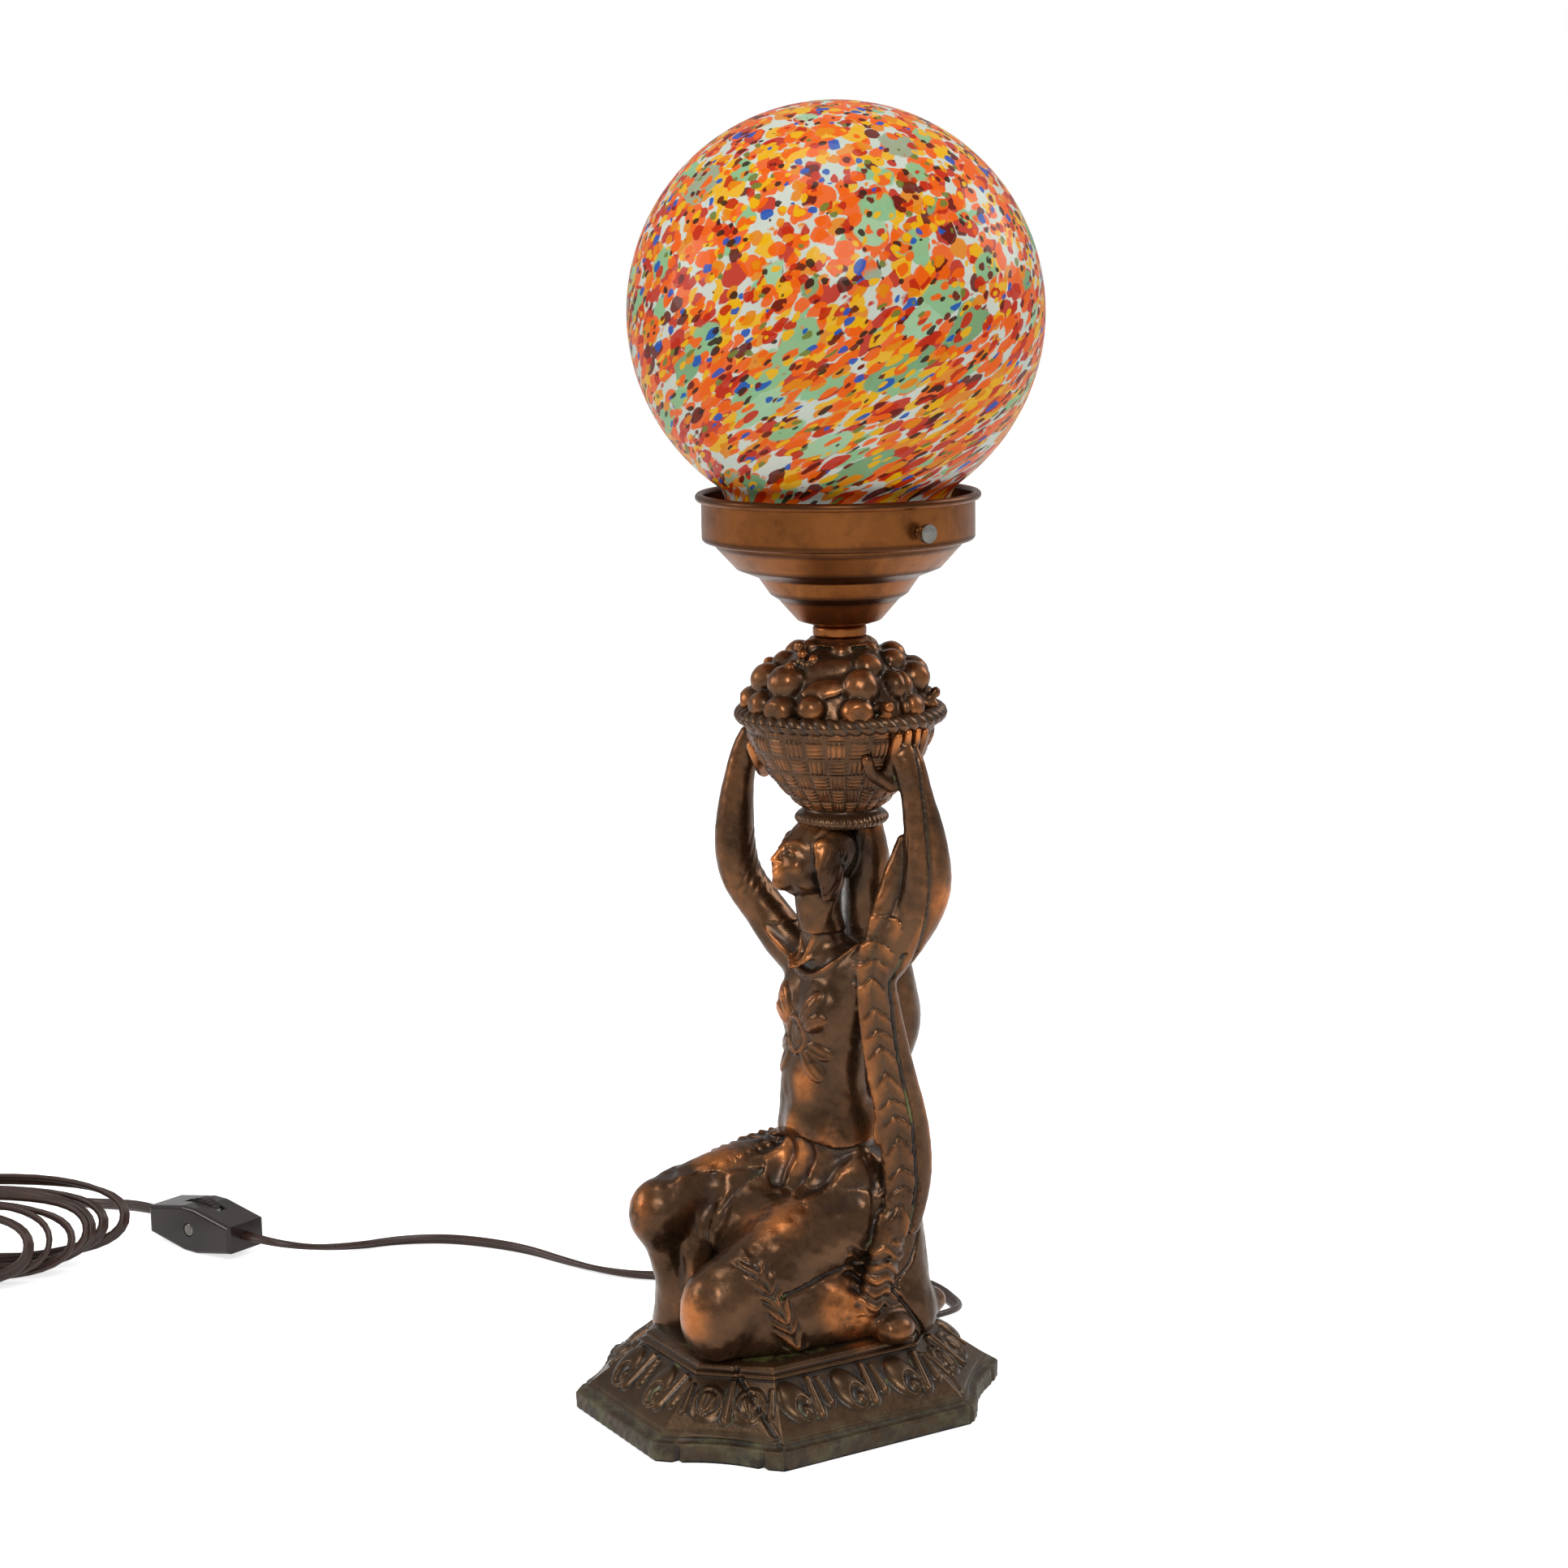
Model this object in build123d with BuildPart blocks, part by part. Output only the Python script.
"""Figural table lamp: a kneeling woman carrying a fruit basket that holds a glass globe.

Millimetres, +Z up. The origin is on the surface the lamp stands on, under the centre
of the base. The figure faces -Y and her left side is +X. The lamp's upright, with the
basket, gallery, socket and globe on it, stands LAMP_Y behind the centre.
"""
import os
from math import atan2, cos, degrees, pi, radians, sin, sqrt, tan

from build123d import *

os.makedirs("parts", exist_ok=True)

# ---- base ------------------------------------------------------------------------
BASE_W, BASE_L = 134.8, 156.4  # across X, along Y
BASE_CHAMFER = 36.0  # leg of each corner chamfer
FELT_T, FELT_INSET = 1.0, 1.2
PLINTH_T = 6.6  # upright band round the foot
NOTCH = 3.2  # groove beside each corner block
BLOCK_W = 9.0  # corner blocks at both ends of a chamfer
HOLLOW_DEPTH = 2.4  # the chamfer faces bow in by this between their blocks
MOULD_H = 3.4  # quirk moulding between plinth and carved slope
SLOPE_INSET, SLOPE_H = 18.4, 14.2  # carved slope, how far in and up it goes
BEAD_H, BEAD_IN = 5.8, 5.4  # double bead round the plateau
BASE_WALL = 5.5
PLATEAU_T = 8.0

# ---- upright, nuts and gland -----------------------------------------------------
LAMP_Y = 27.4  # the lamp axis, behind the centre of the base
TUBE_R, TUBE_BORE_R = 4.9, 3.4  # 1/8 inch lamp pipe
TUBE_CLEAR = 0.3
NUT_AF, NUT_T = 19.0, 4.5
WASHER_R, WASHER_T = 14.0, 1.5
SEAT_GAP = 0.02
GLAND_X, GLAND_Z = -24.0, 7.2  # where the cord leaves the back of the base
GLAND_BOSS_R, GLAND_BOSS_OUT = 6.0, 0.4
GLAND_R, GLAND_FLANGE_R, GLAND_FLANGE_T = 4.2, 5.4, 1.2

# ---- basket ----------------------------------------------------------------------
FOOT_Z, FOOT_R, FOOT_H = 226.8, 17.6, 7.6
BOWL_R, BOWL_H = 36.2, 33.0  # at the rim's underside, above the foot ring
RIM_R, RIM_THICK = 37.0, 5.6
FRUIT_H = 29.3  # fruit dome above the rim's middle
COLLAR_R, COLLAR_T = 10.3, 4.4

# ---- gallery and globe -----------------------------------------------------------
SHEET_T = 0.9
BAND_R, BAND_H = 52.0, 16.0
RIM_ROLL = 1.6
SHOULDER_H = 33.4  # gallery bottom up to the ledge the globe stands on
GLOBE_R, GLASS_T = 78.5, 2.6
GLOBE_UP = 5.5  # ledge up to where the ball's underside would be
NECK_R = 42.6
LIP_R, LIP_H = 48.8, 3.2
GLOBE_SEAT = 0.25
SCREW_R, SCREW_HEAD_R, SCREW_HEAD_T = 1.6, 3.5, 2.6
SCREW_Z = 5.8  # above the ledge
SCREW_TURN = 3.0  # first screw's azimuth, from +X
SCREW_CLEAR = 0.05
SCREW_NECK = 3.6  # shank seen between band and head
BOSS_T = 1.6

# ---- socket and bulb -------------------------------------------------------------
SOCKET_R, SOCKET_WALL = 16.6, 0.6
CAP_H, SHELL_H = 20.0, 33.0
LINER_T = 0.7
BODY_R, BODY_H = 14.4, 12.0
BULB_R, BULB_H = 30.0, 106.0
BULB_CAP_R, BULB_CAP_H = 12.9, 24.0
BULB_WALL = 0.9

# ---- cord, switch, hank and plug -------------------------------------------------
CORD_W = 5.3  # the real two-core cord is flat, this wide and 2.7 thick
CORD_D = 4.0  # round section of the same area, which the solids use
SWITCH_AT, SWITCH_TURN = (-297.5, -129.4), 20.0
SWITCH_L, SWITCH_H, SWITCH_END_H, SWITCH_T = 54.0, 21.0, 12.5, 21.0
WHEEL_R, WHEEL_T, WHEEL_UP = 10.8, 4.0, 2.0  # the wheel turns about a sleeve above the middle
WHEEL_CLEAR, SLEEVE_R, SLEEVE_CLEAR = 0.4, 4.4, 0.05
WHEEL_TEETH, TOOTH_R = 36, 0.4
SLOT_L, SLOT_DEEP = 24.0, 3.0
CASE_SCREW_R, CASE_HEAD_R, CASE_HEAD_T = 1.45, 2.9, 1.2
HANK_TURN = 58.2  # the hank's long way, from +X
HANK_LOOPS = 7
HANK_RIGHT, HANK_LEFT = -300.0, -424.0  # turns' far points along the hank
HANK_BACK = 172.0  # first loop's place across the hank
HANK_PITCH = 6.6
HANK_LEAN = 60.0
HANK_HALF = 17.5
HANK_STEP, HANK_UNEVEN = 5.0, 3.0
PLUG_L, PLUG_W, PLUG_T = 26.0, 24.0, 13.0
BLADE_L, BLADE_W, BLADE_T, BLADE_PITCH = 17.0, 6.3, 1.5, 12.7


# ---- what follows from them ------------------------------------------------------
PLINTH_TOP = FELT_T + PLINTH_T
SLOPE_Z = PLINTH_TOP + MOULD_H
PLATEAU_Z = SLOPE_Z + SLOPE_H + BEAD_H
COLLAR_Z = FOOT_Z + FOOT_H + BOWL_H + RIM_THICK / 2 + FRUIT_H
GALLERY_Z = COLLAR_Z + COLLAR_T
LEDGE_Z = GALLERY_Z + SHOULDER_H
GLOBE_Z = LEDGE_Z + GLOBE_UP + GLOBE_R
TUBE_TOP = GALLERY_Z + 13.0
POCKET_Z = PLATEAU_Z - PLATEAU_T
CORD_R = CORD_D / 2


def octagon(inset):
    """The base's outline, chamfered at its corners and drawn in by inset."""
    with BuildSketch() as outline:
        Rectangle(BASE_W, BASE_L)
        chamfer(outline.vertices(), BASE_CHAMFER)
        if inset:
            offset(amount=-inset, kind=Kind.INTERSECTION)
    return outline.sketch


def lifted(sketch, z):
    return Pos(0, 0, z) * sketch


def stack(levels):
    """A ruled solid through the base's outline at each (inset, height)."""
    loft([lifted(octagon(i), z) for i, z in levels], ruled=True)


def section(center, along, half_x, half_y, across=(1, 0, 0)):
    """An ellipse square to the direction along, its first half width nearest to across."""
    normal = Vector(*along).normalized()
    side = Vector(*across)
    side = (side - normal * side.dot(normal)).normalized()
    with BuildSketch(Plane(origin=center, x_dir=side, z_dir=normal)) as ring:
        Ellipse(half_x, half_y)
    return ring.sketch


def limb(stations, across=(1, 0, 0)):
    """A loft through (x, y, z, half width, half depth), each square to the way the limb runs."""
    places = [Vector(*s[:3]) for s in stations]
    rings = []
    for i, (x, y, z, a, b) in enumerate(stations):
        way = places[min(i + 1, len(places) - 1)] - places[max(i - 1, 0)]
        rings.append(section((x, y, z), tuple(way), a, b, across))
    loft(rings)


def upright(stations):
    """A loft through (x, y, z, half width, half depth) with every section level."""
    loft([section((x, y, z), (0, 0, 1), a, b) for x, y, z, a, b in stations])


# ---- figure: stations are x, y, z, half width, half depth -------------------------
TORSO = [
    (5, 26, 30, 27, 24), (5, 27, 56, 28, 25), (4, 26, 78, 29, 24), (2, 24, 96, 27, 21),
    (-1, 20.5, 112, 21, 19), (-2, 18.5, 128, 19.5, 18), (-2, 19, 142, 20.5, 18),
    (-2, 19.5, 154, 23, 18.5), (-1, 22, 166, 25, 14), (0, 22.5, 174, 20, 11), (0, 21, 180, 11, 10),
]
NECK = [(0, 21.5, 172, 12, 11), (0, 19, 183, 9.2, 9.8), (0, 16.5, 193, 8.8, 9.4), (0, 17, 202, 9, 10)]
HEAD = [
    (0, 11.5, 195, 6.5, 8.5), (0, 11.5, 200, 10.2, 13.8), (0, 14, 207, 12.4, 15.6),
    (0, 15.6, 213, 13, 16), (0, 18, 219, 13, 15.2), (0, 21, 225, 11.6, 13.2), (0, 23, 228, 10, 11),
]
VEIL = [
    (0, 35, 228.4, 11, 8), (0, 36, 214, 14, 9.5), (0, 37, 198, 13, 10), (0, 40, 182, 15, 12),
    (0, 43, 164, 18, 13), (0, 45, 147, 19, 13.6), (0, 42, 132, 17, 12), (0, 38, 118, 13, 8),
]
RIGHT_ARM = [
    (-12, 22, 170, 10, 11), (-22, 16, 177, 9, 9.5), (-30, 10, 189, 8, 8.6), (-36, 3.6, 202, 7.6, 8.4),
    (-38, 1.6, 214, 7.6, 8.2), (-38.5, 2.2, 228, 6.8, 7.4), (-37.5, 4, 243, 5.4, 6), (-36, 6.6, 252, 5, 6.4),
    (-34, 8.6, 260, 4.4, 6.6), (-32.6, 10, 267, 3.4, 5.4),
]
LEFT_ARM = [
    (12, 24, 170, 10, 11), (24, 28, 176, 9.5, 10.5), (34, 35, 190, 9, 9.6), (40, 39, 203, 8.6, 9.6),
    (41.5, 39.6, 214, 8, 9.4), (40.8, 38.6, 228, 7, 8), (38.8, 36.6, 243, 5.6, 6.2), (37.4, 34.8, 252, 5, 6.4),
    (35.8, 33, 260, 4.4, 6.6), (34.2, 32, 267, 3.4, 5.4),
]
FAR_THIGH = [
    (-8, 24, 80, 22, 20), (-17, 6, 83, 18, 17.5), (-21, -16, 83.5, 13.4, 13.8),
    (-22, -36, 80.5, 11, 11.4), (-22, -45, 78, 9.6, 9.6),
]
FAR_SHIN = [(-22, -42, 76, 9, 10), (-22, -39, 62, 8.6, 9.4), (-23, -37, 46, 8.4, 8), (-24, -36, 29, 7.6, 7.4)]
NEAR_THIGH = [
    (11, 22, 66, 20, 22), (16, 4, 68, 18.5, 20), (20, -18, 62, 16, 18),
    (22.6, -36, 54.5, 14.2, 16.6), (23, -43, 51, 12.4, 15.6),
]
NEAR_CALF = [
    (22, -42, 44, 11, 13), (25.5, -20, 43, 12, 15), (27.5, 4, 42.5, 12, 14.5), (27, 24, 40, 11, 12), (25, 42, 36, 9, 7),
]
FAR_KNEE = [
    (-22, -45.2, 63.5, 6, 6), (-22, -45.2, 67, 8.4, 8.4), (-22, -45.2, 72, 10.4, 10.4), (-22, -45.2, 78, 10.9, 10.9),
    (-22, -45.2, 84, 9.2, 9.2), (-22, -45.2, 87.6, 6.4, 6.4), (-22, -45.2, 89.4, 3.4, 3.4),
]
NEAR_KNEE = [
    (23, -47.3, 32, 6.6, 6.6), (23, -46.4, 38, 10.8, 10.8), (23, -45.3, 45, 13.6, 13.6), (23, -44.3, 52, 14.1, 14.1),
    (23, -43.3, 59, 12.4, 12.4), (23, -42.3, 65, 8.8, 8.8), (23, -41.9, 68, 4.6, 4.6),
]
RIGHT_LOBE = [
    (-12.4, 20.4, 197, 2.4, 2.6), (-12.4, 20.8, 200.4, 4.2, 4.4), (-12.4, 21.3, 206, 5.5, 5.6),
    (-12.4, 21.7, 211, 5.5, 5.6), (-12.4, 22.2, 216.6, 4.2, 4.4), (-12.4, 22.6, 220, 2.4, 2.6),
]
LEFT_LOBE = [(-x, y, z, a, b) for x, y, z, a, b in RIGHT_LOBE]
STOLE = [
    (27, 26, 186, 5, 6.5), (27.5, 25, 168, 4.5, 8.5), (29.5, 28.5, 140, 4.2, 10.4),
    (31.5, 34, 112, 4.2, 11.4), (34, 34.5, 90, 4.2, 10.6), (36.5, 29.5, 70, 4, 8),
]
SASH_END = [(35, 27, 76, 4.2, 7), (37, 20, 58, 4.6, 7), (37.5, 14, 45, 4.2, 6)]
FRONT_SASH = [(29, -30, 66, 5, 5.5), (34, -27, 52, 4.6, 6.5), (34.5, -22, 35, 4.4, 6.5)]
DRAPE = [(-18, -26, 74, 13, 8), (-20, -34, 54, 12.5, 7.6), (-23, -36, 29, 12, 8.6)]
LAP = [(-14, -8, 72, 18, 15), (2, -12, 65, 18, 17), (14, -20, 54, 16, 16)]
BACK_HEM = [(4, 34, 72, 26, 18), (8, 36, 50, 26, 17), (12, 38, 29.5, 25, 15.5)]
HAIR = [
    (0, 24, 199, 9, 8), (0, 23.6, 206, 13, 11.4), (0, 24, 214, 14.4, 13.4), (0, 24.6, 221, 14, 12.8),
    (0, 25, 227.6, 12, 11.4),
]

# The bowl's neck and the bulge of its side, and the gallery's steps as (radius, height above its foot).
BOWL_NECK_R, BOWL_BULGE = 15.2, 3.6
GALLERY_STEPS = [
    (9.7, 0.45), (15.9, 2.4), (22.9, 10.5), (26.0, 12.5), (30.7, 19.3), (38.9, 22.5), (46.6, 30.9),
]
NECK_FILLET = 9.0

# Seams of the castings, as (y, z): up the back of the trunk, its bend round the near arm
# and stole, and round the panel let into the near side.
SEAM_Y = BASE_L / 2 - BASE_CHAMFER - 0.6  # where the seams come down to the foot
BACK_SEAM = [(SEAM_Y, -5), (SEAM_Y, 24), (34, 34), (29.3, 60), (29.3, 330), (130, 330), (130, -5)]
BACK_SEAM_ARM = [
    (SEAM_Y, -5), (SEAM_Y, 24), (36, 34), (26, 48), (35, 57), (42, 69), (48, 88), (48, 120), (42, 150),
    (36, 172), (36, 330), (130, 330), (130, -5),
]
PANEL_SEAM = [
    (-SEAM_Y, -5), (-SEAM_Y, 24), (-40, 34), (-38, 52.8), (14.7, 61.7), (20, 69.3), (60, 69.3), (60, -5),
]
ARM_X, PANEL_X = 24.0, 20.0

SCREW_AZ = [SCREW_TURN, SCREW_TURN + 120, SCREW_TURN + 240]
TUBE_FOOT = POCKET_Z - WASHER_T - NUT_T - 2.5
BOSS_Y = BASE_L / 2 + GLAND_BOSS_OUT
GLAND_BARREL = 9.0
AXIS = Axis((0, LAMP_Y, 0), (0, 0, 1))
SECTION = Plane(origin=(0, LAMP_Y, 0), x_dir=(1, 0, 0), z_dir=(0, -1, 0))
BOWL_Z = FOOT_Z + FOOT_H
RIM_Z = BOWL_Z + BOWL_H
HOLE_R = TUBE_R + TUBE_CLEAR


def screw_plane(turn, distance):
    """Square to the band at a screw's azimuth, this far from the lamp axis."""
    a = radians(turn)
    return Plane(
        origin=(distance * cos(a), LAMP_Y + distance * sin(a), LEDGE_Z + SCREW_Z),
        x_dir=(-sin(a), cos(a), 0), z_dir=(cos(a), sin(a), 0),
    )


def plinth_outline(inset):
    """The foot's outline, its chamfers bowed in between corner blocks and grooved beside them."""
    face = BASE_CHAMFER * sqrt(2)
    half = face / 2 - BLOCK_W
    bow = (half**2 + HOLLOW_DEPTH**2) / (2 * HOLLOW_DEPTH)
    with BuildSketch() as outline:
        add(octagon(inset))
        for sx in (-1, 1):
            for sy in (-1, 1):
                middle = Vector(sx * (BASE_W - BASE_CHAMFER) / 2, sy * (BASE_L - BASE_CHAMFER) / 2)
                with Locations(Location((middle.X, middle.Y, 0), (0, 0, degrees(atan2(sy, sx))))):
                    with Locations((bow - HOLLOW_DEPTH - inset, 0)):
                        Circle(bow, mode=Mode.SUBTRACT)
                    with Locations((-inset, half), (-inset, -half)):
                        Rectangle(NOTCH, NOTCH, rotation=45, mode=Mode.SUBTRACT)
    return outline.sketch


def seam_block(outline, low_x, high_x):
    """The space to one side of a seam drawn in (y, z), between two planes of constant x."""
    with BuildPart() as block:
        with BuildSketch(Plane(origin=(low_x, 0, 0), x_dir=(0, 1, 0), z_dir=(1, 0, 0))):
            Polygon(*outline, align=None)
        extrude(amount=high_x - low_x)
    return block.part


with BuildPart() as hollow:
    stack([(BASE_WALL, FELT_T), (BASE_WALL, FELT_T + 4.5), (BASE_WALL + 21.5, POCKET_Z)])
with BuildPart() as casting:
    # figure
    upright(TORSO)
    upright(VEIL)
    limb(FAR_THIGH)
    limb(FAR_SHIN)
    limb(FAR_KNEE)
    limb(NEAR_THIGH)
    limb(NEAR_CALF)
    limb(NEAR_KNEE)
    limb(LAP, across=(0, 1, 0))
    limb(BACK_HEM)
    limb(DRAPE)
    limb(RIGHT_ARM)
    limb(LEFT_ARM)
    upright(STOLE)
    limb(SASH_END)
    limb(FRONT_SASH)
    upright(NECK)
    upright(HEAD)
    upright(HAIR)
    upright(RIGHT_LOBE)
    upright(LEFT_LOBE)
    # basket of fruit
    with BuildSketch(SECTION):
        with BuildLine():
            Polyline(
                (0, RIM_Z), (0, FOOT_Z), (FOOT_R - 2, FOOT_Z), (FOOT_R, FOOT_Z + 2.4),
                (FOOT_R - 0.6, FOOT_Z + 4.8), (BOWL_NECK_R, BOWL_Z),
            )
            SagittaArc((BOWL_NECK_R, BOWL_Z), (BOWL_R, RIM_Z), BOWL_BULGE)
            Line((BOWL_R, RIM_Z), (0, RIM_Z))
        make_face()
    revolve(axis=AXIS)
    with BuildSketch(SECTION):
        with Locations((RIM_R, RIM_Z + RIM_THICK / 2)):
            Circle(RIM_THICK / 2)
    revolve(axis=AXIS)
    with BuildSketch(SECTION):
        with BuildLine():
            Polyline(
                (COLLAR_R, COLLAR_Z), (0, COLLAR_Z), (0, RIM_Z), (RIM_R, RIM_Z), (RIM_R, RIM_Z + RIM_THICK / 2),
            )
            ThreePointArc((RIM_R, RIM_Z + RIM_THICK / 2), (RIM_R * 0.76, COLLAR_Z - 9), (COLLAR_R, COLLAR_Z))
        make_face()
    revolve(axis=AXIS)
    # base
    with BuildSketch(Plane.XY.offset(FELT_T)):
        add(plinth_outline(0))
    extrude(amount=PLINTH_T)
    stack([
        (HOLLOW_DEPTH + 0.4, PLINTH_TOP), (HOLLOW_DEPTH + 1.4, PLINTH_TOP + MOULD_H * 0.6),
        (HOLLOW_DEPTH + 2.8, PLINTH_TOP + MOULD_H * 0.7), (HOLLOW_DEPTH + 3.2, SLOPE_Z),
        (HOLLOW_DEPTH + 3.2 + SLOPE_INSET, SLOPE_Z + SLOPE_H),
        (HOLLOW_DEPTH + 3.6 + SLOPE_INSET, SLOPE_Z + SLOPE_H + BEAD_H * 0.4),
        (HOLLOW_DEPTH + 5.8 + SLOPE_INSET, SLOPE_Z + SLOPE_H + BEAD_H * 0.5),
        (HOLLOW_DEPTH + 6.2 + SLOPE_INSET, SLOPE_Z + SLOPE_H + BEAD_H * 0.85),
        (HOLLOW_DEPTH + 8.4 + SLOPE_INSET, PLATEAU_Z),
    ])
    # hollow under the base, hole up the middle and the cord's way out
    add(hollow.part, mode=Mode.SUBTRACT)
    with Locations((0, LAMP_Y, 0)):
        Cylinder(HOLE_R, COLLAR_Z + 1, align=(Align.CENTER, Align.CENTER, Align.MIN), mode=Mode.SUBTRACT)
    with BuildSketch(Plane(origin=(GLAND_X, BOSS_Y, GLAND_Z), x_dir=(1, 0, 0), z_dir=(0, -1, 0))):
        Circle(GLAND_BOSS_R)
    extrude(amount=BOSS_Y - BASE_L / 2 + BASE_WALL)
    with BuildSketch(Plane(origin=(GLAND_X, BOSS_Y, GLAND_Z), x_dir=(1, 0, 0), z_dir=(0, -1, 0))):
        Circle(GLAND_R + SEAT_GAP)
    extrude(amount=26, mode=Mode.SUBTRACT)

back_space = seam_block(BACK_SEAM, -120, ARM_X)
arm_space = seam_block(BACK_SEAM_ARM, ARM_X, 120)
panel_space = seam_block(PANEL_SEAM, PANEL_X, 120)
with BuildPart() as rear_casting:
    add(casting.part)
    add(back_space.fuse(arm_space), mode=Mode.INTERSECT)
with BuildPart() as front_casting:
    add(casting.part)
    add(back_space, mode=Mode.SUBTRACT)
    add(arm_space, mode=Mode.SUBTRACT)
with BuildPart() as side_casting:
    add(front_casting.part)
    add(panel_space, mode=Mode.INTERSECT)
with front_casting:
    add(panel_space, mode=Mode.SUBTRACT)

# ---- base fittings ----------------------------------------------------------------
with BuildPart() as base_felt:
    with BuildSketch():
        add(plinth_outline(FELT_INSET))
    extrude(amount=FELT_T)

with BuildPart() as lamp_tube:
    with BuildSketch(Plane.XY.offset(TUBE_FOOT)):
        with Locations((0, LAMP_Y)):
            Circle(TUBE_R)
            Circle(TUBE_BORE_R, mode=Mode.SUBTRACT)
    extrude(amount=TUBE_TOP - TUBE_FOOT)


def washer(z, radius, thickness):
    with BuildSketch(Plane.XY.offset(z)) as ring:
        with Locations((0, LAMP_Y)):
            Circle(radius)
            Circle(TUBE_R + SEAT_GAP, mode=Mode.SUBTRACT)
    extrude(ring.sketch, amount=thickness)


def hex_nut(z, across_flats, thickness):
    with BuildSketch(Plane.XY.offset(z)) as ring:
        with Locations((0, LAMP_Y)):
            RegularPolygon(across_flats / 2, 6, major_radius=False)
            Circle(TUBE_R + SEAT_GAP, mode=Mode.SUBTRACT)
    extrude(ring.sketch, amount=thickness)


with BuildPart() as base_washer:
    washer(POCKET_Z - WASHER_T, WASHER_R, WASHER_T)
with BuildPart() as base_nut:
    hex_nut(POCKET_Z - WASHER_T - NUT_T, NUT_AF, NUT_T)
with BuildPart() as seat_collar:
    washer(COLLAR_Z, COLLAR_R, COLLAR_T)
    fillet(seat_collar.edges().filter_by(GeomType.CIRCLE).sort_by(SortBy.RADIUS)[-2:], COLLAR_T * 0.3)
with BuildPart() as gallery_nut:
    hex_nut(GALLERY_Z + SHEET_T, NUT_AF - 3, NUT_T - 1)

with BuildPart() as cord_gland:
    gland_face = Plane(origin=(GLAND_X, BOSS_Y, GLAND_Z), x_dir=(1, 0, 0), z_dir=(0, 1, 0))
    with BuildSketch(gland_face):
        Circle(GLAND_FLANGE_R)
    extrude(amount=GLAND_FLANGE_T)
    fillet(cord_gland.edges().sort_by(Axis.Y)[-1], GLAND_FLANGE_T * 0.6)
    with BuildSketch(gland_face):
        Circle(GLAND_R)
    extrude(amount=-GLAND_BARREL)
    with BuildSketch(gland_face.offset(GLAND_FLANGE_T)):
        Circle(CORD_W / 2 + 0.25)
    extrude(amount=-GLAND_BARREL - GLAND_FLANGE_T, mode=Mode.SUBTRACT)

# ---- gallery and its screws --------------------------------------------------------
LEDGE_IN = GALLERY_STEPS[-1][0]
with BuildPart() as gallery:
    with BuildSketch(SECTION):
        with BuildLine() as sheet:
            FilletPolyline(
                (TUBE_R + 0.3, GALLERY_Z + SHEET_T / 2),
                *[(r, GALLERY_Z + z) for r, z in GALLERY_STEPS],
                (LEDGE_IN + 1.2, LEDGE_Z - SHEET_T / 2), (BAND_R - SHEET_T / 2, LEDGE_Z - SHEET_T / 2),
                (BAND_R - SHEET_T / 2, LEDGE_Z + BAND_H),
                radius=1.1,
            )
        trace(sheet.line, SHEET_T)
        with Locations((BAND_R + RIM_ROLL - SHEET_T, LEDGE_Z + BAND_H)):
            Circle(RIM_ROLL)
    revolve(axis=AXIS)
    for turn in SCREW_AZ:
        with BuildSketch(screw_plane(turn, BAND_R - BOSS_T - SHEET_T / 2)):
            Circle(SCREW_R + 1.5)
        extrude(amount=BOSS_T)
        with BuildSketch(screw_plane(turn, BAND_R - BOSS_T - SHEET_T)):
            Circle(SCREW_R + SCREW_CLEAR)
        extrude(amount=BOSS_T + 2 * SHEET_T + 0.4, mode=Mode.SUBTRACT)


def thumb_screw(turn):
    """A knurled screw through the band, its tip just off the glass above the lip."""
    tip = NECK_R + 1.2 + GLOBE_SEAT
    with BuildSketch(screw_plane(turn, tip)) as shank:
        Circle(SCREW_R)
    extrude(shank.sketch, amount=BAND_R + SCREW_NECK - tip)
    with BuildSketch(screw_plane(turn, BAND_R + 0.4)) as shoulder:
        Circle(SCREW_R + 0.7)
    extrude(shoulder.sketch, amount=SCREW_NECK - 0.4)
    with BuildSketch(screw_plane(turn, BAND_R + SCREW_NECK)) as head:
        Circle(SCREW_HEAD_R)
        with PolarLocations(SCREW_HEAD_R, 24):
            Circle(0.22, mode=Mode.SUBTRACT)
    extrude(head.sketch, amount=SCREW_HEAD_T)


with BuildPart() as thumb_screw_a:
    thumb_screw(SCREW_AZ[0])
with BuildPart() as thumb_screw_b:
    thumb_screw(SCREW_AZ[1])

# ---- globe ------------------------------------------------------------------------
GLOBE_FOOT = LEDGE_Z + GLOBE_SEAT


def ball_and_neck(ball_r, neck_r, blend):
    """Half-section of the ball with its open neck, blended where they meet."""
    with BuildSketch() as outline:
        with Locations((0, GLOBE_Z)):
            Circle(ball_r)
        with Locations((0, GLOBE_FOOT)):
            Rectangle(2 * neck_r, GLOBE_Z - GLOBE_FOOT, align=(Align.CENTER, Align.MIN))
        corners = [v for v in outline.vertices() if GLOBE_FOOT + 1 < v.Y < GLOBE_Z and abs(v.X) > 1]
        fillet(corners, blend)
    return outline.sketch


with BuildPart() as globe:
    with BuildSketch(SECTION):
        add(ball_and_neck(GLOBE_R, NECK_R, NECK_FILLET))
        with Locations((0, GLOBE_FOOT)):
            Rectangle(2 * LIP_R, LIP_H, align=(Align.CENTER, Align.MIN))
        add(ball_and_neck(GLOBE_R - GLASS_T, NECK_R - GLASS_T, NECK_FILLET + GLASS_T), mode=Mode.SUBTRACT)
        with Locations((0, GLOBE_FOOT - 1)):
            Rectangle(2 * GLOBE_R, 3 * GLOBE_R, align=(Align.MIN, Align.MIN), mode=Mode.INTERSECT)
    revolve(axis=AXIS)
    rings = globe.edges().filter_by(GeomType.CIRCLE)
    fillet([e for e in rings if abs(e.radius - LIP_R) < 0.01], LIP_H * 0.3)

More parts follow.
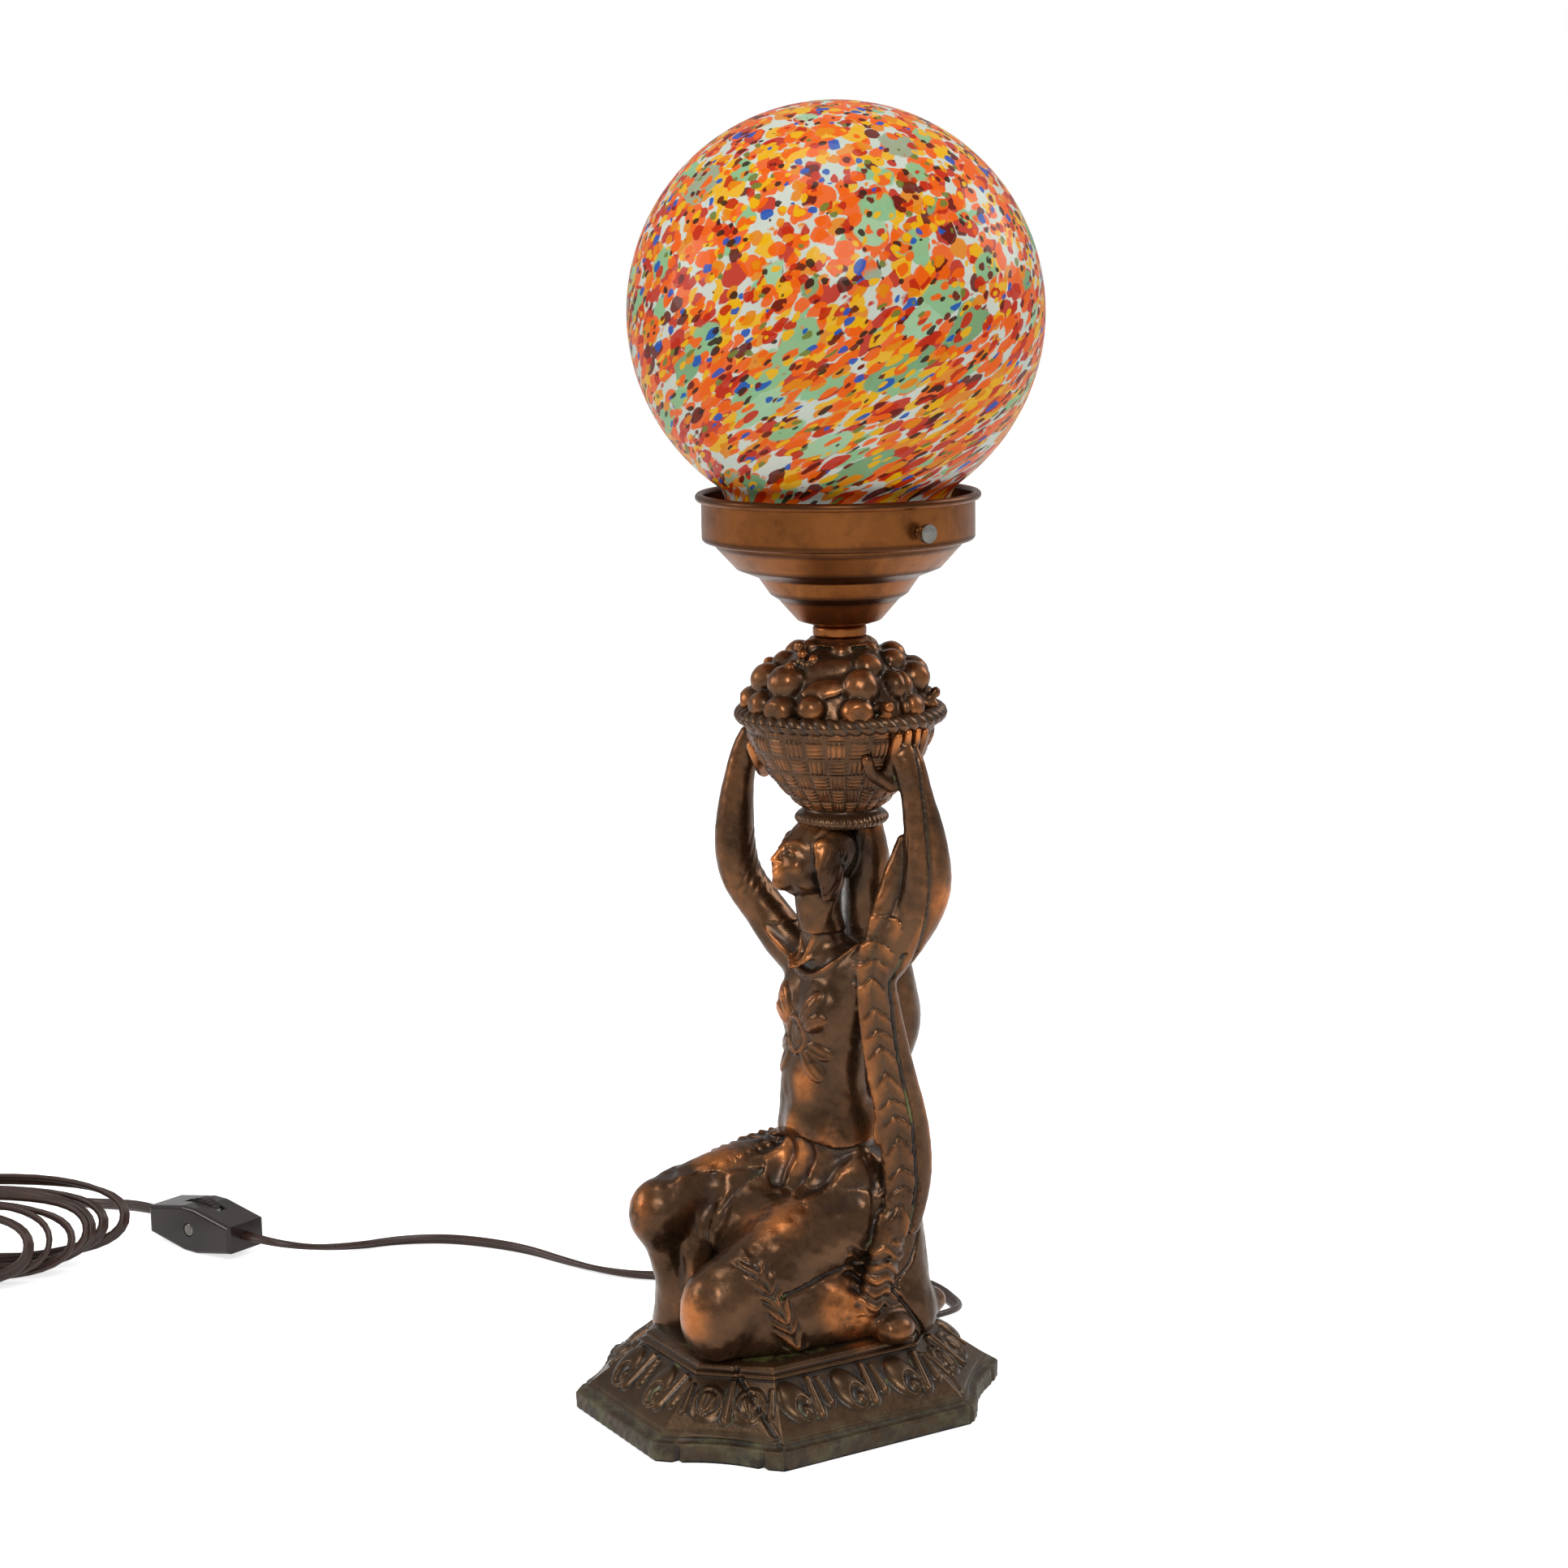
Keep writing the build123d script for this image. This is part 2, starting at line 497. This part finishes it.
# ---- socket and bulb ----------------------------------------------------------------
CAP_Z = GALLERY_Z + SHEET_T + NUT_T - 1 + 0.6
BODY_Z = CAP_Z + CAP_H - 8
THREAD_Z = BODY_Z + BODY_H
BULB_Z = THREAD_Z + 1.2
SHELL_R = SOCKET_R - SOCKET_WALL - 0.1
LINER_R = SHELL_R - SOCKET_WALL - 0.1


def tube_between(z, height, outer, inner):
    with BuildSketch(Plane.XY.offset(z)) as ring:
        with Locations((0, LAMP_Y)):
            Circle(outer)
            Circle(inner, mode=Mode.SUBTRACT)
    extrude(ring.sketch, amount=height)


with BuildPart() as socket_cap:
    with BuildSketch(SECTION):
        with BuildLine() as wall:
            FilletPolyline(
                (TUBE_R + SEAT_GAP + SOCKET_WALL / 2, CAP_Z), (TUBE_R + SEAT_GAP + SOCKET_WALL / 2, CAP_Z + 5),
                (SOCKET_R - SOCKET_WALL / 2, CAP_Z + 9), (SOCKET_R - SOCKET_WALL / 2, CAP_Z + CAP_H), radius=2.2,
            )
        trace(wall.line, SOCKET_WALL)
    revolve(axis=AXIS)
with BuildPart() as socket_shell:
    tube_between(CAP_Z + CAP_H - 6, SHELL_H, SHELL_R, SHELL_R - SOCKET_WALL)
with BuildPart() as socket_liner:
    tube_between(CAP_Z + CAP_H - 5, SHELL_H - 2, LINER_R, LINER_R - LINER_T)
with BuildPart() as socket_body:
    with BuildSketch(Plane.XY.offset(BODY_Z)):
        with Locations((0, LAMP_Y)):
            Circle(BODY_R)
            with PolarLocations(BODY_R, 2):
                Rectangle(2 * 2.4, 9, mode=Mode.SUBTRACT)
    extrude(amount=BODY_H)
with BuildPart() as screw_shell:
    tube_between(THREAD_Z, BULB_CAP_H, BULB_CAP_R + 1.0, BULB_CAP_R + 0.5)
with BuildPart() as centre_contact:
    with BuildSketch(Plane.XY.offset(THREAD_Z)):
        with Locations((0, LAMP_Y)):
            Circle(3.2)
    extrude(amount=BULB_Z - THREAD_Z - SEAT_GAP)
with BuildPart() as terminal_screws:
    for turn in (0, 180):
        a = radians(turn)
        face = Plane(
            origin=((BODY_R - 2.4 + SEAT_GAP) * cos(a), LAMP_Y, BODY_Z + BODY_H / 2), x_dir=(0, 1, 0), z_dir=(cos(a), 0, 0)
        )
        with BuildSketch(face):
            Circle(3.0)
            Rectangle(7, 0.8, mode=Mode.SUBTRACT)
        extrude(amount=1.4)
        with BuildSketch(face):
            Circle(3.0)
        extrude(amount=0.7)

with BuildPart() as bulb_cap:
    with BuildSketch(SECTION):
        with BuildLine():
            Polyline((0, BULB_Z + 3), (0, BULB_Z), (4.5, BULB_Z), (10.5, BULB_Z + 4), (BULB_CAP_R, BULB_Z + 5.5),
                     (BULB_CAP_R, BULB_Z + BULB_CAP_H), (BULB_CAP_R - 0.5, BULB_Z + BULB_CAP_H),
                     (BULB_CAP_R - 0.5, BULB_Z + 6.5), (8, BULB_Z + 3), (0, BULB_Z + 3))
        make_face()
    revolve(axis=AXIS)


def pear(ball_r, stem_r):
    """Outline of a bulb: a ball and a stem joined by straight flanks."""
    with BuildSketch() as outline:
        with Locations((0, BULB_Z + BULB_H - BULB_R)):
            Circle(ball_r)
        with Locations((0, BULB_Z + BULB_CAP_H)):
            Circle(stem_r)
        make_hull()
    return outline.sketch


with BuildPart() as bulb_glass:
    with BuildSketch(SECTION):
        add(pear(BULB_R, BULB_CAP_R - 1.5))
        add(pear(BULB_R - BULB_WALL, BULB_CAP_R - 1.5 - BULB_WALL), mode=Mode.SUBTRACT)
        with Locations((0, BULB_Z)):
            Rectangle(2 * BULB_R, 2 * BULB_H, align=(Align.MIN, Align.MIN), mode=Mode.INTERSECT)
    revolve(axis=AXIS)

# ---- cord -----------------------------------------------------------------------------
def route(points):
    """Straight runs joined by arcs as large as their runs allow."""
    places = [Vector(*p) for p in points]
    runs = [b - a for a, b in zip(places, places[1:])]
    radii = []
    for before, after in zip(runs, runs[1:]):
        turn = radians(before.get_angle(after))
        radii.append(0.45 * min(before.length, after.length) / tan(turn / 2))
    with BuildLine() as line:
        FilletPolyline(*places, radius=radii)
    print("  runs", [round(r.length) for r in runs], "radii", [round(r, 1) for r in radii])
    return line.wire()


def cord_section(path):
    with BuildSketch(Plane(origin=path @ 0, z_dir=path % 0)) as ring:
        Circle(CORD_R)
    return ring.sketch


def swept(name, made, path):
    print(f"  {name}: {path.length:.0f} mm, volume {made.volume:.0f} of {pi * CORD_R**2 * path.length:.0f}")


GLAND_OUT = BOSS_Y + GLAND_FLANGE_T
SWITCH = Plane(
    origin=(*SWITCH_AT, SWITCH_H / 2),
    x_dir=(cos(radians(SWITCH_TURN)), sin(radians(SWITCH_TURN)), 0),
    z_dir=(sin(radians(SWITCH_TURN)), -cos(radians(SWITCH_TURN)), 0),
)


def at_switch(along, up=0.0):
    return tuple(SWITCH.from_local_coords((along, up, 0)))


def at_hank(along, across, z):
    """A point by its place along the hank, across it and above the floor."""
    return tuple(Vector(along, across, z).rotate(Axis.Z, HANK_TURN))


def hank_corners():
    """Corners of the hank's path: each loop runs out low and comes back high, leaning back."""
    lean = radians(HANK_LEAN)
    corners = []
    for i in range(2 * HANK_LOOPS):
        half = HANK_HALF + HANK_UNEVEN * 0.5 * sin(1.9 * i)
        low = i % 2 == 0
        across = HANK_BACK - HANK_PITCH * i / 2 + (-half if low else half) * cos(lean)
        z = CORD_R + 0.1 + HANK_HALF * sin(lean) + (HANK_UNEVEN * 0.5 + half * (-1 if low else 1)) * sin(lean)
        right = HANK_RIGHT - HANK_STEP * (i // 2) - HANK_UNEVEN * sin(1.3 * (i // 2))
        left = HANK_LEFT + HANK_UNEVEN * sin(2.3 * ((i + 1) // 2))
        corners += [(left, across, z), (right, across, z)] if low else [(right, across, z), (left, across, z)]
    return corners


LAMP_SIDE = [
    (GLAND_X, GLAND_OUT, GLAND_Z), (GLAND_X, GLAND_OUT + 12, GLAND_Z), (-33, 103, 4.4), (-48, 109.5, CORD_R),
    (-66, 111, CORD_R), (-85, 105, CORD_R), (-103, 90, CORD_R), (-119, 65, CORD_R), (-132, 40, CORD_R),
    (-145.7, 16.1, CORD_R),
    (-161, 4, CORD_R), (-182, -5.3, CORD_R), (-206, -13, CORD_R), (-225, -24.4, CORD_R), (-240, -37.3, CORD_R),
    (-249, -53, CORD_R), (-253, -67, CORD_R), (-254, -81, 3), (-253, -95, 5.6), (-254.5, -107, 8.6),
    at_switch(SWITCH_L / 2 + 12, 0), at_switch(SWITCH_L / 2, 0),
]
corners = hank_corners()
first, last = corners[0], corners[-1]
HANK_SIDE = [
    at_switch(-SWITCH_L / 2, 0), at_switch(-SWITCH_L / 2 - 14, 0), at_hank(-316, 230, 5.4), at_hank(-336, 243, CORD_R),
    at_hank(-360, 254, CORD_R), at_hank(-386, 258, CORD_R), at_hank(-412, 253, CORD_R), at_hank(-434, 238, CORD_R),
    at_hank(-449, 218, CORD_R), at_hank(-455, 196, CORD_R), at_hank(-450, 176, CORD_R),
    at_hank(first[0] - 14, first[1], first[2]), at_hank(*first),
]
PLUG_SIDE = [
    at_hank(*last), at_hank(last[0] - 13, last[1], last[2]), at_hank(last[0] - 28, last[1] + 1, last[2] - 6),
    at_hank(last[0] - 41, last[1] + 6, last[2] - 15), at_hank(last[0] - 50, last[1] + 16, PLUG_T / 2 + 3),
    at_hank(last[0] - 54, last[1] + 30, PLUG_T / 2), at_hank(last[0] - 54, last[1] + 44, PLUG_T / 2),
]
with BuildPart() as cord_lamp_side:
    lamp_side = route(LAMP_SIDE)
    sweep(cord_section(lamp_side), path=lamp_side)
swept("cord_lamp_side", cord_lamp_side.part, lamp_side)

# ---- hank -----------------------------------------------------------------------------
def wound(corners):
    """Runs joined by two quarter turns at each end of the hank."""
    places = [Vector(*at_hank(*c)) for c in corners]
    radii = []
    for i in range(1, len(places) - 1):
        before, after = places[i] - places[i - 1], places[i + 1] - places[i]
        radii.append(0.47 * min(before.length, after.length) / tan(radians(before.get_angle(after)) / 2))
    with BuildLine() as line:
        FilletPolyline(*places, radius=radii)
    return line.wire()


with BuildPart() as cord_hank:
    hank_path = wound(corners)
    sweep(cord_section(hank_path), path=hank_path)
swept("cord_hank", cord_hank.part, hank_path)
walk = [hank_path @ (i / 900) for i in range(901)]
step = hank_path.length / 900
near = min(
    (a - b).length for i, a in enumerate(walk) for b in walk[i + int(30 / step):]
) - CORD_D
print(f"  hank's least gap to itself {near:.2f} mm, lowest {min(w.Z for w in walk) - CORD_R:.2f}")


with BuildPart() as cord_hank_side:
    hank_side = route(HANK_SIDE)
    sweep(cord_section(hank_side), path=hank_side)
swept("cord_hank_side", cord_hank_side.part, hank_side)
with BuildPart() as cord_plug_side:
    plug_side = route(PLUG_SIDE)
    sweep(cord_section(plug_side), path=plug_side)
swept("cord_plug_side", cord_plug_side.part, plug_side)
INNER = [
    (GLAND_X, GLAND_OUT, GLAND_Z), (GLAND_X, GLAND_OUT - 26, GLAND_Z), (-18, LAMP_Y + 18, CORD_R + FELT_T + 1.2),
    (0, LAMP_Y, CORD_R + FELT_T + 1.2), (0, LAMP_Y, BODY_Z - SEAT_GAP),
]
with BuildPart() as inner_cord:
    inner = route(INNER)
    sweep(cord_section(inner), path=inner)
swept("inner_cord", inner_cord.part, inner)

# ---- switch -----------------------------------------------------------------------------
HALF = SWITCH_T / 2


def case_half(side):
    """One half of the switch's case; side is 1 for the half with the screw's head."""
    with BuildSketch(SWITCH) as outline:
        with BuildLine():
            Polyline(
                (-SWITCH_L / 2, -SWITCH_END_H / 2), (-4, -SWITCH_H / 2), (4, -SWITCH_H / 2),
                (SWITCH_L / 2, -SWITCH_END_H / 2), (SWITCH_L / 2, SWITCH_END_H / 2), (4, SWITCH_H / 2),
                (-4, SWITCH_H / 2), (-SWITCH_L / 2, SWITCH_END_H / 2), close=True,
            )
        make_face()
    extrude(outline.sketch, amount=side * HALF)


with BuildPart() as switch_front:
    case_half(1)
    fillet(switch_front.faces().sort_by(Axis(SWITCH.origin, SWITCH.z_dir))[-1].edges(), 1.8)
with BuildPart() as switch_back:
    case_half(-1)
    fillet(switch_back.faces().sort_by(Axis(SWITCH.origin, SWITCH.z_dir))[0].edges(), 1.8)


def wheel_room(side):
    """Cuts the wheel's space out of a half and leaves the sleeve it turns on."""
    deep = WHEEL_T / 2 + WHEEL_CLEAR
    with BuildSketch(SWITCH) as room:
        with Locations((0, WHEEL_UP)):
            Circle(WHEEL_R + WHEEL_CLEAR)
            Circle(SLEEVE_R, mode=Mode.SUBTRACT)
    extrude(room.sketch, amount=side * deep, mode=Mode.SUBTRACT)
    with BuildSketch(SWITCH) as slot:
        with Locations((0, SWITCH_H / 2)):
            Rectangle(SLOT_L, 2 * SLOT_DEEP)
        with Locations((0, WHEEL_UP)):
            Circle(SLEEVE_R, mode=Mode.SUBTRACT)
    extrude(slot.sketch, amount=side * deep, mode=Mode.SUBTRACT)
    with BuildSketch(SWITCH) as hole:
        Circle(CASE_SCREW_R + SLEEVE_CLEAR)
    extrude(hole.sketch, amount=side * (HALF if side > 0 else 5), mode=Mode.SUBTRACT)


with switch_front:
    wheel_room(1)
    with BuildSketch(SWITCH.offset(HALF - CASE_HEAD_T)):
        Circle(CASE_HEAD_R + 0.25)
    extrude(amount=CASE_HEAD_T, mode=Mode.SUBTRACT)
with switch_back:
    wheel_room(-1)
with BuildPart() as switch_screw:
    with BuildSketch(SWITCH.offset(HALF - CASE_HEAD_T + SEAT_GAP)):
        Circle(CASE_HEAD_R)
    extrude(amount=CASE_HEAD_T)
    fillet(switch_screw.edges().sort_by(Axis(SWITCH.origin, SWITCH.z_dir))[-1], 0.7)
    with BuildSketch(SWITCH.offset(-4.8)):
        Circle(CASE_SCREW_R)
    extrude(amount=HALF - CASE_HEAD_T + 4.8 + SEAT_GAP)
with BuildPart() as switch_wheel:
    with BuildSketch(SWITCH.offset(-WHEEL_T / 2)):
        with Locations((0, WHEEL_UP)):
            Circle(WHEEL_R)
            Circle(SLEEVE_R + SLEEVE_CLEAR, mode=Mode.SUBTRACT)
            with PolarLocations(WHEEL_R, WHEEL_TEETH):
                Circle(TOOTH_R, mode=Mode.SUBTRACT)
    extrude(amount=WHEEL_T)

# ---- plug ---------------------------------------------------------------------------------
plug_start, before = Vector(*PLUG_SIDE[-1]), Vector(*PLUG_SIDE[-2])
way = (plug_start - before).normalized()
PLUG = Plane(origin=plug_start, x_dir=way.cross(Vector(0, 0, 1)), z_dir=way)
with BuildPart() as plug_body:
    with BuildSketch(PLUG):
        RectangleRounded(9, 7, 2.5)
    with BuildSketch(PLUG.offset(PLUG_L * 0.4)):
        RectangleRounded(PLUG_W * 0.7, PLUG_T * 0.8, 2.5)
    with BuildSketch(PLUG.offset(PLUG_L * 0.6)):
        RectangleRounded(PLUG_W, PLUG_T, 3)
    with BuildSketch(PLUG.offset(PLUG_L)):
        RectangleRounded(PLUG_W, PLUG_T, 3)
    loft(ruled=True)
with BuildPart() as plug_blades:
    with BuildSketch(PLUG.offset(PLUG_L)):
        with GridLocations(BLADE_PITCH, 1, 2, 1):
            Rectangle(BLADE_T, BLADE_W)
    extrude(amount=BLADE_L)
    chamfer(plug_blades.edges().group_by(Axis(PLUG.origin, PLUG.z_dir))[-1], 0.4)

PIECES = {
    "front_casting": front_casting, "rear_casting": rear_casting, "side_casting": side_casting,
    "base_felt": base_felt, "lamp_tube": lamp_tube, "base_washer": base_washer, "base_nut": base_nut,
    "seat_collar": seat_collar, "gallery_nut": gallery_nut, "cord_gland": cord_gland, "gallery": gallery,
    "thumb_screw_a": thumb_screw_a, "thumb_screw_b": thumb_screw_b, "globe": globe,
    "socket_cap": socket_cap, "socket_shell": socket_shell, "socket_liner": socket_liner,
    "socket_body": socket_body, "screw_shell": screw_shell, "centre_contact": centre_contact,
    "terminal_screws": terminal_screws, "bulb_cap": bulb_cap, "bulb_glass": bulb_glass,
    "inner_cord": inner_cord, "cord_lamp_side": cord_lamp_side, "switch_front": switch_front,
    "switch_back": switch_back, "switch_wheel": switch_wheel, "switch_screw": switch_screw,
    "cord_hank_side": cord_hank_side, "cord_hank": cord_hank, "cord_plug_side": cord_plug_side,
    "plug_body": plug_body, "plug_blades": plug_blades,
}
for name, made in PIECES.items():
    made.part.label = name
    export_step(made.part, "parts/" + name + ".step")
